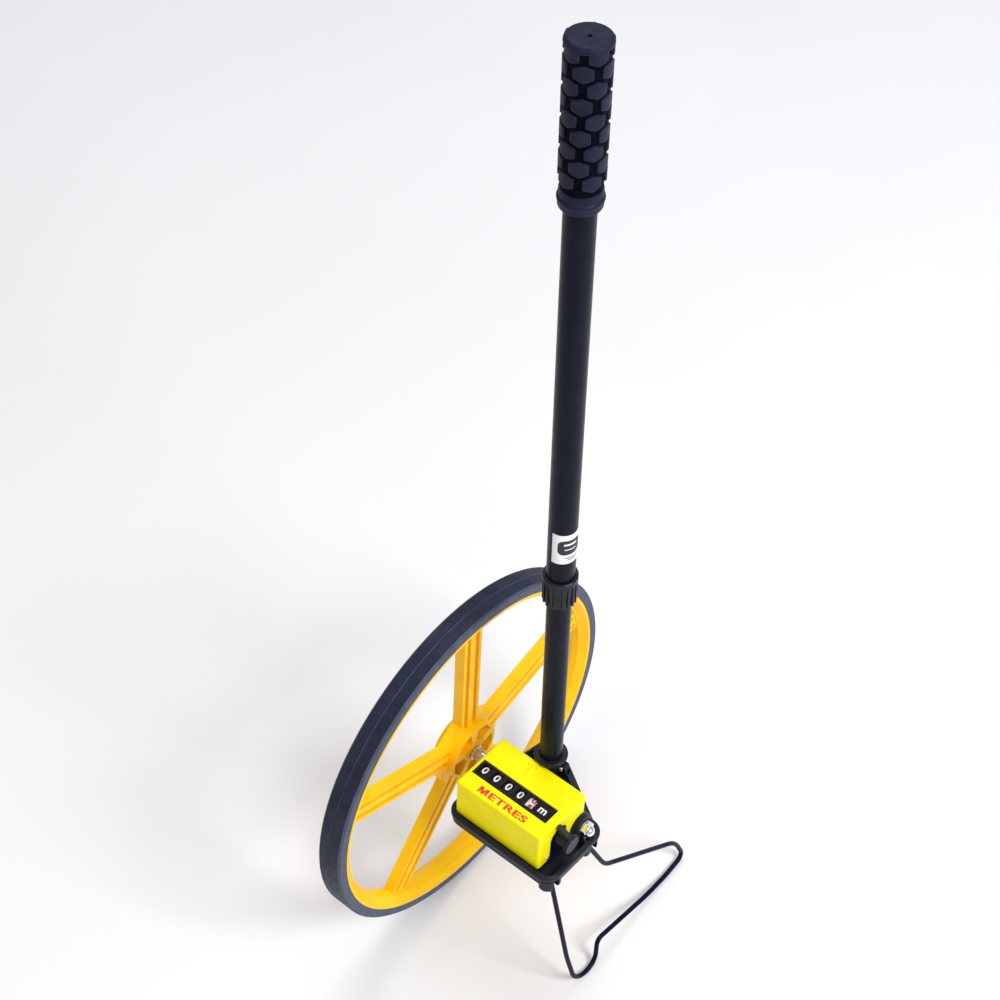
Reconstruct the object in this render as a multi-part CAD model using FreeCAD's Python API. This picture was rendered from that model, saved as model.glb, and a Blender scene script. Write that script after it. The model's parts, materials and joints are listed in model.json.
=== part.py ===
import FreeCAD, Part
import math
import os

# Measuring wheel: a one-metre-per-turn wheel on a stub axle, a geared five-drum counter under a
# cover on a tray, a telescopic handle in a socket behind the counter, and a swinging wire stand.
#
# Tray frame, in millimetres, used for all modelling: origin at the middle of the wheel on the axle,
# +X forward, +Y left along the axle (the counter is on the -Y side), +Z square to the tray.
# The last step pitches the whole object onto its stand and moves the origin to the floor.

# ---- driving dimensions -------------------------------------------------------------------------
METRE = 1000.0
WHEEL_R = METRE / (2 * math.pi)      # one turn rolls one metre
PITCH_DEG = 7.5                      # nose-down attitude when the object stands on its wire stand
TINY = 0.01                          # tolerance for telling edges and phases apart

# wheel
TYRE_WIDTH = 22.2
RIM_R = 149.0                        # seat of the tyre on the rim
RIM_LIP_R = RIM_R + 1.3
RIM_LIP_FROM = 9.4                   # half width of the tyre's seat
RIM_INNER_R = 140.0
SPOKES = 5
SPOKE_PHASE_DEG = 0.3                # first spoke, from +Z towards +X
SPOKE_WIDTH = 20.0
HUB_HALF = 4.7                       # half thickness of the spokes and the hub's plate
HUB_RING_R = 26.0
HUB_RING_HALF = 10.5
HUB_WEB_HALF = 3.0                   # half thickness left between opposite pockets of the hub
HUB_BOSS_R = 8.6
HUB_BOSS_HALF = 11.6

# axle, its nuts, washers and bearings
AXLE_R = 3.0
RUNNING = 0.05                       # radial clearance of every shaft in its bush
HUB_BUSH_R = 5.0
HUB_BUSH_HALF = HUB_BOSS_HALF + 0.4
HUB_WASHER_R = 6.4
WASHER_T = 1.2
NUT_FLATS = 10.0
HUB_NUT_T = 5.0
END_WASHER_Y = -124.6
END_WASHER_R = 7.0
END_WASHER_T = 0.8
END_NUT_FLATS = 12.0
END_NUT_T = 4.6
AXLE_LEFT_END = HUB_BUSH_HALF + WASHER_T + HUB_NUT_T + 1.5
AXLE_RIGHT_END = -128.5
BLOCK_R = 11.0
BLOCK_BUSH_R = 5.5
BLOCK_LEFT_Y = (-40.4, -34.4)
BLOCK_RIGHT_Y = (-123.5, -113.0)

# cover, window and lens
COVER_X = (-50.0, 7.0)
COVER_Y = (-118.7, -34.0)
COVER_Z = (-8.0, 30.5)
COVER_WALL = 2.0
COVER_CORNER_R = 2.6
COVER_EDGE_R = 1.8
WINDOW_X = (-35.2, -19.0)
WINDOW_Y = (-111.5, -36.8)
LENS_T = 0.8
LENS_TOP = COVER_Z[1] - 0.4          # the lens lies a little below the cover's top
MASK_T = 1.0
NOTCH_GAP = 0.4                      # gap between the cover's notches and what they clear
KNOB_NOTCH_R = 9.8

# tray
TRAY_X = (-56.0, 15.5)
TRAY_Y = (-135.5, -28.0)
TRAY_CORNER_R = 13.0
TRAY_TOP = -6.0
TRAY_BEAD_BOTTOM = -11.5             # underside of the round bead that edges the tray
TRAY_FLOOR = -12.0
TRAY_FLOOR_T = 2.5
TRAY_BOTTOM = -18.0
BEAD = 4.0                           # width of the bead
BEAD_ROUND = 1.9
SKIRT_INSET = 1.2                    # the skirt below the bead is set in by this much
SKIRT_ROUND = 2.2
LUG_X = (-42.0, -36.6)               # lug on the tray's floor that takes the cover's screw
LUG_Y = (-116.4, -111.0)
LUG_TOP = 1.0

# screws
SCREW_R = 1.6
SCREW_HEAD_R = 3.0
SCREW_HEAD_T = 1.8
SCREW_SLOT_Z = 1.1                   # floor of the slot above the underside of the head
SCREW_SLOT_HALF = 0.4
COVER_SCREW_R = 1.0
COVER_SCREW_HEAD_R = 1.9
COVER_SCREW_HEAD_T = 1.3
COVER_SCREWS = [(-39.3, -3.2)]       # x, z
BRACKET_SCREWS_Y = (-104.0, -44.0)
BRACKET_SCREWS_Z = -8.8
BLOCK_SCREWS = [(-14.5, -37.4), (-14.5, -118.25)]     # x, y
CHASSIS_SCREWS = [(-41.0, -43.0), (-41.0, -95.0)]     # x, y
BLOCK_FOOT_T = 3.0
CHASSIS_T = 1.2

# bracket and socket of the handle
PLATE_X = (15.5, 21.5)               # the bracket's plate stands against the tray's back
PLATE_TOP = 31.2
PLATE_TOP_HALF = 15.0                # half width of the plate at its top
PLATE_SPREAD = 0.60                  # how much each side widens per millimetre down
SOCKET_R = 10.5
SOCKET_TOP = 32.0
SOCKET_RING_R = 13.5
SOCKET_RING_TOP = 36.5
BOLT_Z = 26.0
BOLT_R = 2.0
BOLT_HALF = 11.2                     # from the handle's axis to the bolt's head and to its nut
BOLT_HEAD_R = 3.6
BOLT_HEAD_T = 2.6
BOLT_NUT_FLATS = 7.0
BOLT_NUT_T = 3.2
BOLT_SEAT_R = 4.6

# handle
HANDLE_FOOT = (19.0, -74.0)          # handle axis where it crosses the axle's height
HANDLE_LEAN_DEG = 2.27               # the handle leans back from the tray's normal
LOWER_TUBE_R = 9.15
LOWER_TUBE_WALL = 1.2
UPPER_TUBE_R = 10.5
TUBE_WALL = 1.0
TUBE_FOOT = 2.0
LOWER_TUBE_TOP = 430.0
COLLAR_SPAN = (221.0, 250.0)
GRIP_SPAN = (577.5, 694.5)
UPPER_TUBE_SPAN = (COLLAR_SPAN[0] + 5.0, GRIP_SPAN[1] - 6.0)
BUSH_SPAN = (UPPER_TUBE_SPAN[0], UPPER_TUBE_SPAN[0] + 20.0)
GRIP_R = 14.1
GRIP_CAP_R = 14.7
CAP_BAND = 2.6                       # length of the cap's straight side
CAP_HOLE_R = 1.5
CAP_SKIN = 4.0
LABEL_SPAN = (271.0, 300.0)
LABEL_T = 0.25

# wire stand
WIRE_R = 2.0
STAND_HINGE = (-129.4, -18.0)        # y, z of the stand's hinge line
STAND_LEAN_DEG = 9.0                 # outward lean of the stand's loop at rest
STAND_LEGS_X = (-45.9, -0.2)         # where the two legs leave the hinge line
STAND_PIN = 7.6                      # length of each inward hinge pin, from its leg's middle
STAND_BOSS_HALF = 8.8
STAND_BOSS_Y = (-134.5, -122.0)
STAND_BOSS_DROP = 5.6                # from the hinge line down to the boss's underside
STAND_SLOT_HALF = 2.6
STAND_SLOT_DRIFT = (3.6, 5.6)        # how far each leg's slot reaches rearward of the leg

# counter works
DRUM_SHAFT = (-26.2, 12.0)           # x, z of the number drums' shaft
DRUM_SHAFT_R = 2.5
DRUM_R = 15.1
DRUM_WIDTH = 8.4
DRUM_PITCH = 11.9
DRUM_WALL = 2.0
DRUM_HUB_R = 5.0
FIRST_DRUM_Y = -43.0
DRUM_NAMES = ("thousands", "hundreds", "tens", "units", "tenths")
DRUM_TEETH = 20
CARRY_MODULE = 1.2
PINION_TEETH = 8
PINION_SIDE_DEG = 210.0              # from the drum shaft to the pinion shaft, from +Z to +X
PINION_SHAFT_R = 1.5
GEAR_FACE = (-99.2, -95.2)           # axle pinion, idler and tenths gear lie on one line
DRIVE_MODULE = 0.8
DRIVE_TEETH = 10
IDLER_TEETH = 26
IDLER_PIN_R = 1.5
CHASSIS_X = (-45.0, -20.0)
EAR_LEFT = (-38.2, -37.0)
EAR_RIGHT = (-101.2, -100.0)

# reset knob
KNOB_Y = (-132.6, -119.3)
KNOB_DISC_R = 8.0
KNOB_DISC_T = 3.6
KNOB_HUB_R = 6.0
KNOB_WING = 17.2                     # height of the wing above the shaft at its inner end
KNOB_WING_FALL = 5.0                 # how much lower the wing is at its outer end
KNOB_WING_T = 4.6
KNOB_TURN_DEG = -9.0                 # the wing rests a little forward of upright
KNOB_SOCKET_FLOOR = 5.0              # from the knob's outer face to the end of the reset shaft

V = FreeCAD.Vector
ORIGIN = V(0, 0, 0)
X_AXIS = V(1, 0, 0)
Y_AXIS = V(0, 1, 0)
Z_AXIS = V(0, 0, 1)


# ---- small helpers ------------------------------------------------------------------------------
def block(x, y, z):
    """A box from its three (low, high) spans."""
    return Part.makeBox(x[1] - x[0], y[1] - y[0], z[1] - z[0], V(x[0], y[0], z[0]))


def rounded_block(x, y, z, radius):
    """A box whose four vertical edges are rounded."""
    body = block(x, y, z)
    upright = [e for e in body.Edges if abs(e.tangentAt(e.FirstParameter).z) > 0.9]
    return body.makeFillet(radius, upright)


def y_rod(radius, span, x=0.0, z=0.0):
    """A cylinder along Y."""
    low, high = min(span), max(span)
    return Part.makeCylinder(radius, high - low, V(x, low, z), Y_AXIS)


def y_tube(inner, outer, span, x=0.0, z=0.0):
    """A tube along Y."""
    margin = 1.0
    bore = y_rod(inner, (min(span) - margin, max(span) + margin), x, z)
    return y_rod(outer, span, x, z).cut(bore)


def z_rod(radius, span, x=0.0, y=0.0):
    """A cylinder along Z."""
    return Part.makeCylinder(radius, span[1] - span[0], V(x, y, span[0]), Z_AXIS)


def z_tube(inner, outer, span):
    """A tube along Z, centred on the Z axis."""
    margin = 1.0
    return z_rod(outer, span).cut(z_rod(inner, (span[0] - margin, span[1] + margin)))


def spun(points, axis):
    """A solid turned from a closed outline of (radius, height) points about Y or Z."""
    if axis is Y_AXIS:
        corners = [V(r, h, 0) for r, h in points]
    else:
        corners = [V(r, 0, h) for r, h in points]
    outline = Part.makePolygon(corners + corners[:1])
    return Part.Face(outline).revolve(ORIGIN, axis, 360)


def prism_along_y(points, span):
    """A prism along Y from an outline of (x, z) points."""
    corners = [V(x, span[0], z) for x, z in points]
    outline = Part.makePolygon(corners + corners[:1])
    return Part.Face(outline).extrude(V(0, span[1] - span[0], 0))


def hexagon(across_flats, span, x=0.0, z=0.0):
    """A hexagonal prism along Y."""
    radius = across_flats / math.sqrt(3)
    turns = [math.radians(30 + 60 * k) for k in range(6)]
    return prism_along_y([(x + radius * math.cos(a), z + radius * math.sin(a)) for a in turns], span)


def edges_between(shape, low, high):
    """The edges whose middle lies inside a box given by two corners."""
    found = []
    for edge in shape.Edges:
        c = edge.CenterOfMass
        inside = (low[0] < c.x < high[0]) and (low[1] < c.y < high[1]) and (low[2] < c.z < high[2])
        if inside:
            found.append(edge)
    return found


def rounded_at_height(shape, radius, z):
    """Rounds the edges that lie at one height."""
    return shape.makeFillet(radius, [e for e in shape.Edges if abs(e.CenterOfMass.z - z) < TINY])


def turned_about_axle(shape, degrees):
    """A copy turned about the axle, from +Z towards +X."""
    copy = shape.copy()
    copy.rotate(ORIGIN, Y_AXIS, degrees)
    return copy


def on_handle(shape):
    """Moves a shape modelled about the Z axis onto the leaning handle axis."""
    copy = shape.copy()
    copy.rotate(ORIGIN, Y_AXIS, -HANDLE_LEAN_DEG)
    copy.translate(V(HANDLE_FOOT[0], HANDLE_FOOT[1], 0))
    return copy


def gear(module, teeth, face, phase_deg):
    """A spur gear along Y with slim straight-flanked teeth; its first tooth is at the phase angle."""
    pitch_r = module * teeth / 2
    levels = ((-1.15, 0.50), (0.0, 0.36), (0.80, 0.20))   # height in modules, width in tooth steps
    step = 2 * math.pi / teeth
    points = []
    for k in range(teeth):
        middle = k * step + math.radians(phase_deg)
        left = [(h, -w / 2) for h, w in levels]
        right = [(h, w / 2) for h, w in reversed(levels)]
        for height, width in left + right:
            radius = pitch_r + height * module
            turn = middle + width * step * pitch_r / radius
            points.append((radius * math.sin(turn), radius * math.cos(turn)))
    return prism_along_y(points, face)


# ---- wheel --------------------------------------------------------------------------------------
def tyre():
    half = TYRE_WIDTH / 2
    shoulder = 1.6
    groove_half = 0.6
    groove_deep = 1.1
    outline = [
        (RIM_R, -RIM_LIP_FROM), (RIM_LIP_R, -RIM_LIP_FROM), (RIM_LIP_R, -half), (WHEEL_R - shoulder, -half),
        (WHEEL_R, -half + shoulder), (WHEEL_R, -groove_half), (WHEEL_R - groove_deep, 0),
        (WHEEL_R, groove_half), (WHEEL_R, half - shoulder), (WHEEL_R - shoulder, half),
        (RIM_LIP_R, half), (RIM_LIP_R, RIM_LIP_FROM), (RIM_R, RIM_LIP_FROM),
    ]
    return spun(outline, Y_AXIS)


def wheel_rim():
    """The rim: a flange under each side of the tyre and a slim crowned inner side."""
    half = TYRE_WIDTH / 2
    flange_r = RIM_LIP_R - 2.6
    waist_half = 5.6
    waist_r, crown_r = RIM_INNER_R + 2.8, RIM_INNER_R + 1.6
    outline = [
        (RIM_R, -RIM_LIP_FROM), (RIM_LIP_R, -RIM_LIP_FROM), (RIM_LIP_R, -half), (flange_r, -half),
        (waist_r, -waist_half), (crown_r, -waist_half), (RIM_INNER_R, 0), (crown_r, waist_half),
        (waist_r, waist_half), (flange_r, half), (RIM_LIP_R, half), (RIM_LIP_R, RIM_LIP_FROM),
        (RIM_R, RIM_LIP_FROM),
    ]
    return spun(outline, Y_AXIS)


def spoke():
    """One spoke along +Z, plain; its grooves are cut once the wheel is in one piece."""
    half = SPOKE_WIDTH / 2
    return block((-half, half), (-HUB_HALF, HUB_HALF), (HUB_RING_R - 4, RIM_INNER_R + 1.5))


def spoke_grooves():
    """The two lengthwise grooves in each face of a spoke, from the hub's ring to the rim."""
    groove_x = (3.0, 7.0)
    groove_deep = 2.8
    groove_z = (HUB_RING_R + 0.6, RIM_INNER_R - 1.0)
    grooves = []
    for side in (-1, 1):
        for face in (-1, 1):
            xs = sorted((side * groove_x[0], side * groove_x[1]))
            ys = sorted((face * (HUB_HALF - groove_deep), face * (HUB_HALF + 1)))
            grooves.append(block(xs, ys, groove_z))
    return Part.makeCompound(grooves)


def hub_plate():
    """Five-sided plate whose corners run into the spokes."""
    corner_r = 41.0
    turns = [math.radians(SPOKE_PHASE_DEG + 360 / SPOKES * k) for k in range(SPOKES)]
    return prism_along_y([(corner_r * math.sin(a), corner_r * math.cos(a)) for a in turns],
                         (-HUB_HALF, HUB_HALF))


def hub_pocket(face):
    """One rounded pocket between two webs of the hub, in the face on side +1 or -1."""
    inner_r, outer_r = 11.0, 23.2
    inner_half, outer_half = math.radians(22.0), math.radians(26.5)
    middle = math.radians(180 / SPOKES)
    turns = [(inner_r, middle - inner_half), (outer_r, middle - outer_half), (outer_r + 1.2, middle),
             (outer_r, middle + outer_half), (inner_r, middle + inner_half)]
    span = sorted((face * HUB_WEB_HALF, face * (HUB_RING_HALF + 1)))
    body = prism_along_y([(r * math.sin(a), r * math.cos(a)) for r, a in turns], span)
    corners = [e for e in body.Edges if abs(e.tangentAt(e.FirstParameter).y) > 0.9]
    return body.makeFillet(1.4, corners)


def spoked_wheel():
    """Rim, five grooved spokes and a hub with five pockets in each face."""
    body = wheel_rim().fuse(hub_plate())
    body = body.fuse(y_rod(HUB_RING_R, (-HUB_RING_HALF, HUB_RING_HALF)))
    turns = [SPOKE_PHASE_DEG + 360 / SPOKES * k for k in range(SPOKES)]
    for turn in turns:
        body = body.fuse(turned_about_axle(spoke(), turn))
    for turn in turns:
        body = body.cut(turned_about_axle(spoke_grooves(), turn))
        for face in (-1, 1):
            body = body.cut(turned_about_axle(hub_pocket(face), turn))
    body = body.fuse(y_rod(HUB_BOSS_R, (-HUB_BOSS_HALF, HUB_BOSS_HALF)))
    body = body.cut(y_rod(HUB_BUSH_R, (-HUB_BOSS_HALF - 1, HUB_BOSS_HALF + 1)))
    return body.removeSplitter()


def axle():
    body = y_rod(AXLE_R, (AXLE_RIGHT_END, AXLE_LEFT_END))
    ends = [e for e in body.Edges if e.Length < 2 * math.pi * AXLE_R + 1 and e.Closed]
    return body.makeChamfer(0.5, ends)


def axle_end_nut():
    """Cap nut on the axle's right end: a hexagon with chamfered corners and a dome."""
    base, face = END_WASHER_Y, END_WASHER_Y - END_NUT_T
    dome = Part.makeSphere(END_NUT_FLATS * 0.42, V(0, face + 0.6, 0))
    dome = dome.common(y_rod(END_NUT_FLATS, (face - 2 * END_NUT_T, base - 1)))
    wide, tip = END_NUT_FLATS, END_NUT_FLATS * 0.49
    outline = [(0, base), (wide, base), (wide, face + 2.2), (tip, face), (0, face)]
    return hexagon(END_NUT_FLATS, (face, base)).common(spun(outline, Y_AXIS)).fuse(dome)


def axle_parts():
    """Everything clamped on the axle apart from the wheel itself."""
    hub_face = HUB_BUSH_HALF
    nut_from = -(hub_face + WASHER_T)
    spacer_to = BLOCK_LEFT_Y[1] + 0.4
    drive = gear(DRIVE_MODULE, DRIVE_TEETH, GEAR_FACE, mesh_angle((0, 0), DRUM_SHAFT))
    drive = drive.fuse(y_rod(4.4, (GEAR_FACE[1], GEAR_FACE[1] + 4)))
    parts = {
        "axle": axle(),
        "hub_bush": y_tube(AXLE_R, HUB_BUSH_R, (-HUB_BUSH_HALF, HUB_BUSH_HALF)),
        "hub_washer_outer": y_tube(AXLE_R, HUB_WASHER_R, (hub_face, hub_face + WASHER_T)),
        "hub_nut_outer": hexagon(NUT_FLATS, (hub_face + WASHER_T, hub_face + WASHER_T + HUB_NUT_T)),
        "hub_washer_inner": y_tube(AXLE_R, HUB_WASHER_R, (nut_from, -hub_face)),
        "hub_nut_inner": hexagon(NUT_FLATS, (nut_from - HUB_NUT_T, nut_from)),
        "spacer_sleeve": y_tube(AXLE_R, HUB_BUSH_R, (spacer_to, nut_from - HUB_NUT_T)),
        "axle_pinion": drive,
        "axle_end_washer": y_tube(AXLE_R, END_WASHER_R, (END_WASHER_Y, END_WASHER_Y + END_WASHER_T)),
        "axle_end_nut": axle_end_nut(),
    }
    threaded = ("hub_nut_outer", "hub_nut_inner", "axle_pinion", "axle_end_nut")
    for name in threaded:
        parts[name] = parts[name].cut(y_rod(AXLE_R, (AXLE_RIGHT_END, AXLE_LEFT_END)))
    return parts


# ---- tray, bearings and bracket -----------------------------------------------------------------
def inset(span, amount):
    return (span[0] + amount, span[1] - amount)


def stand_boss(leg_x, pin_side, leg_drift):
    """A boss under the tray with an open slot for one leg and a blind hole for its hinge pin."""
    y, z = STAND_HINGE
    wall = pin_side * (leg_drift if pin_side > 0 else STAND_SLOT_HALF)
    foot = z - STAND_BOSS_DROP
    body = rounded_block((leg_x - STAND_BOSS_HALF, leg_x + STAND_BOSS_HALF), STAND_BOSS_Y,
                         (foot, TRAY_FLOOR - 0.5), 4.0)
    body = rounded_at_height(body, 2.4, foot)
    body = body.common(rounded_block(inset(TRAY_X, 0.6), inset(TRAY_Y, 0.6), (foot - 1, TRAY_TOP),
                                     TRAY_CORNER_R - 0.6))
    slot = block((leg_x - STAND_SLOT_HALF, leg_x + leg_drift), (y - 20, y + STAND_SLOT_HALF),
                 (z - 20, TRAY_BEAD_BOTTOM - 0.4))
    mouth = V(leg_x + wall - pin_side, y, z)
    hole = Part.makeCylinder(WIRE_R + 0.08, STAND_PIN + 0.4 - abs(wall) + 1, mouth, V(pin_side, 0, 0))
    return body, slot, hole


def tray_shell():
    """Bead, skirt and floor of the tray."""
    bead = rounded_block(TRAY_X, TRAY_Y, (TRAY_BEAD_BOTTOM, TRAY_TOP), TRAY_CORNER_R)
    for height in (TRAY_BEAD_BOTTOM, TRAY_TOP):
        bead = rounded_at_height(bead, BEAD_ROUND, height)
    skirt = rounded_block(inset(TRAY_X, SKIRT_INSET), inset(TRAY_Y, SKIRT_INSET),
                          (TRAY_BOTTOM, TRAY_BEAD_BOTTOM + 1.5), TRAY_CORNER_R - SKIRT_INSET)
    skirt = rounded_at_height(skirt, SKIRT_ROUND, TRAY_BOTTOM)
    pocket = rounded_block(inset(TRAY_X, BEAD), inset(TRAY_Y, BEAD), (TRAY_FLOOR, TRAY_TOP + 1),
                           TRAY_CORNER_R - BEAD - 1)
    hollow = rounded_block(inset(TRAY_X, BEAD), inset(TRAY_Y, BEAD),
                           (TRAY_BOTTOM - 1, TRAY_FLOOR - TRAY_FLOOR_T), TRAY_CORNER_R - BEAD)
    return bead.fuse(skirt).cut(pocket).cut(hollow)


def base_tray():
    """The tray with the lug for the cover's screw and the two bosses for the wire stand."""
    body = tray_shell().fuse(block(LUG_X, LUG_Y, (TRAY_FLOOR - 0.5, LUG_TOP)))
    cuts = []
    for leg_x, side, drift in zip(STAND_LEGS_X, (1, -1), STAND_SLOT_DRIFT):
        boss, slot, hole = stand_boss(leg_x, side, drift)
        body = body.fuse(boss)
        cuts += [slot, hole]
    for cut in cuts:
        body = body.cut(cut)
    for x, y in BLOCK_SCREWS + CHASSIS_SCREWS:
        body = body.cut(z_rod(SCREW_R, (TRAY_FLOOR - TRAY_FLOOR_T - 1, TRAY_FLOOR + 1), x, y))
    for y in BRACKET_SCREWS_Y:
        body = body.cut(bracket_screw_shank(y))
    for x, z in COVER_SCREWS:
        body = body.cut(cover_screw_shank(x, z))
    return body.removeSplitter()


def bracket_screw_shank(y):
    """Shank of a screw along X through the bracket's plate into the tray's back wall."""
    start = TRAY_X[1] - BEAD + 0.4
    return Part.makeCylinder(SCREW_R, PLATE_X[1] - start, V(start, y, BRACKET_SCREWS_Z), X_AXIS)


def bracket_screw(y):
    """A pan-head screw in the back of the bracket's plate."""
    face = PLATE_X[1]
    z = BRACKET_SCREWS_Z
    head = Part.makeCylinder(SCREW_HEAD_R, SCREW_HEAD_T, V(face, y, z), X_AXIS)
    head = head.makeFillet(0.8, [e for e in head.Edges if abs(e.CenterOfMass.x - face - SCREW_HEAD_T) < TINY])
    slot = block((face + SCREW_SLOT_Z, face + 3), (y - SCREW_HEAD_R, y + SCREW_HEAD_R),
                 (z - SCREW_SLOT_HALF, z + SCREW_SLOT_HALF))
    return bracket_screw_shank(y).fuse(head).cut(slot)


def floor_screw(x, y, under_head):
    """A pan-head screw whose shank goes through the tray's floor."""
    shank = z_rod(SCREW_R, (TRAY_FLOOR - TRAY_FLOOR_T, under_head), x, y)
    top = under_head + SCREW_HEAD_T
    head = rounded_at_height(z_rod(SCREW_HEAD_R, (under_head, top), x, y), 0.8, top)
    slot = block((x - SCREW_HEAD_R, x + SCREW_HEAD_R), (y - SCREW_SLOT_HALF, y + SCREW_SLOT_HALF),
                 (under_head + SCREW_SLOT_Z, top + 1))
    return shank.fuse(head).cut(slot)


def floor_screws(places, foot_t):
    """The screws that hold a foot of a given thickness on the tray's floor."""
    return Part.makeCompound([floor_screw(x, y, TRAY_FLOOR + foot_t) for x, y in places])


def bearing_block(span):
    """A round-topped block that stands on the tray's floor and carries an axle bush."""
    y = span
    body = y_rod(BLOCK_R, y).fuse(block((-BLOCK_R, BLOCK_R - 5), y, (TRAY_FLOOR, 0)))
    foot = block((-18.0, -BLOCK_R + 1), y, (TRAY_FLOOR, TRAY_FLOOR + BLOCK_FOOT_T))
    body = body.fuse(foot).cut(y_rod(BLOCK_BUSH_R, (y[0] - 1, y[1] + 1)))
    middle = (y[0] + y[1]) / 2
    x = BLOCK_SCREWS[0][0]
    return body.cut(z_rod(SCREW_R, (TRAY_FLOOR - 1, TRAY_FLOOR + 4), x, middle)).removeSplitter()


def axle_bush(span):
    return y_tube(AXLE_R + RUNNING, BLOCK_BUSH_R, span)


def bracket_plate():
    """Plate against the tray's back that narrows towards the socket."""
    y0 = HANDLE_FOOT[1]
    foot = TRAY_BOTTOM + 1.0
    base_half = PLATE_TOP_HALF + (PLATE_TOP - foot) * PLATE_SPREAD
    corners = [(y0 - base_half, foot), (y0 + base_half, foot), (y0 + PLATE_TOP_HALF, PLATE_TOP),
               (y0 - PLATE_TOP_HALF, PLATE_TOP)]
    outline = Part.makePolygon([V(PLATE_X[0], y, z) for y, z in corners + corners[:1]])
    return Part.Face(outline).extrude(V(PLATE_X[1] - PLATE_X[0], 0, 0))


def rear_bracket():
    """Plate with the handle's socket, which stands on a pillar over the tray's back edge."""
    pillar = on_handle(z_rod(SOCKET_R, (TRAY_TOP + 0.7, SOCKET_TOP)))
    body = bracket_plate().fuse(pillar)
    body = body.cut(on_handle(z_rod(LOWER_TUBE_R, (TUBE_FOOT, SOCKET_TOP + 9))))
    body = body.cut(cross_hole()).cut(bolt_seats())
    for y in BRACKET_SCREWS_Y:
        body = body.cut(bracket_screw_shank(y))
    return body.removeSplitter()


def cross_axis(radius, low, high):
    """A rod along Y through the socket at the cross bolt's height, from low to high off the axis."""
    rod = Part.makeCylinder(radius, high - low, V(0, low, BOLT_Z), Y_AXIS)
    return on_handle(rod)


def cross_hole():
    return cross_axis(BOLT_R, -40, 40)


def socket_bolt():
    outer = -BOLT_HALF - BOLT_HEAD_T
    head = Part.makeCylinder(BOLT_HEAD_R, BOLT_HEAD_T, V(0, outer, BOLT_Z), Y_AXIS)
    head = head.makeFillet(1.2, [e for e in head.Edges if e.CenterOfMass.y < outer + 0.1 and e.Closed])
    return cross_axis(BOLT_R, -BOLT_HALF, BOLT_HALF + BOLT_NUT_T + 1).fuse(on_handle(head))


def socket_nut():
    radius = BOLT_NUT_FLATS / math.sqrt(3)
    turns = [math.radians(60 * k) for k in range(6)]
    nut = prism_along_y([(radius * math.cos(a), BOLT_Z + radius * math.sin(a)) for a in turns],
                        (BOLT_HALF, BOLT_HALF + BOLT_NUT_T))
    return on_handle(nut).cut(cross_hole())


def bolt_seats():
    """Clearance for the bolt's head and nut where the plate would meet them."""
    seats = cross_axis(BOLT_SEAT_R, -BOLT_HALF - 4, -BOLT_HALF)
    return seats.fuse(cross_axis(BOLT_SEAT_R, BOLT_HALF, BOLT_HALF + 6))


def socket_collar():
    ring = z_tube(LOWER_TUBE_R, SOCKET_RING_R, (SOCKET_TOP, SOCKET_RING_TOP))
    rims = [e for e in ring.Edges if e.Closed and abs(e.Length - 2 * math.pi * SOCKET_RING_R) < 0.5]
    return on_handle(ring.makeFillet(1.6, rims))


# ---- handle -------------------------------------------------------------------------------------
def lower_tube():
    tube = z_tube(LOWER_TUBE_R - LOWER_TUBE_WALL, LOWER_TUBE_R, (TUBE_FOOT, LOWER_TUBE_TOP))
    return on_handle(tube).cut(cross_hole())


def tube_end_guide():
    """Plastic cap at the top of the lower tube that runs in the upper tube."""
    bore = UPPER_TUBE_R - TUBE_WALL
    sleeve = z_tube(LOWER_TUBE_R, bore - RUNNING, (LOWER_TUBE_TOP - 30, LOWER_TUBE_TOP))
    cap = z_rod(bore - RUNNING, (LOWER_TUBE_TOP, LOWER_TUBE_TOP + 2))
    return on_handle(sleeve.fuse(cap))


def upper_tube():
    return on_handle(z_tube(UPPER_TUBE_R - TUBE_WALL, UPPER_TUBE_R, UPPER_TUBE_SPAN))


def clamp_collet():
    """Split bush in the mouth of the upper tube."""
    ring = z_tube(LOWER_TUBE_R + RUNNING, UPPER_TUBE_R - TUBE_WALL, BUSH_SPAN)
    slit = block((-0.8, 0.8), (0, 20), (BUSH_SPAN[0] - 1, BUSH_SPAN[0] + 12))
    return on_handle(ring.cut(slit))


def lock_collar():
    """Ribbed clamping collar, wider at its top, with an inner lip below the upper tube's end."""
    low, high = COLLAR_SPAN
    shell = [
        (LOWER_TUBE_R + 0.35, low), (10.3, low), (11.0, low + 1.5), (12.0, high - 6), (12.9, high - 5),
        (12.9, high - 0.8), (12.1, high), (UPPER_TUBE_R + RUNNING, high),
        (UPPER_TUBE_R + RUNNING, UPPER_TUBE_SPAN[0] - 0.4), (LOWER_TUBE_R + 0.35, UPPER_TUBE_SPAN[0] - 0.4),
    ]
    body = spun(shell, Z_AXIS)
    ribs = 18
    rib = block((-0.9, 0.9), (10.9, 12.7), (low + 2.5, high - 5.5))
    for k in range(ribs):
        one = rib.copy()
        one.rotate(ORIGIN, Z_AXIS, 360 / ribs * k)
        body = body.fuse(one)
    return on_handle(body.removeSplitter())


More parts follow.
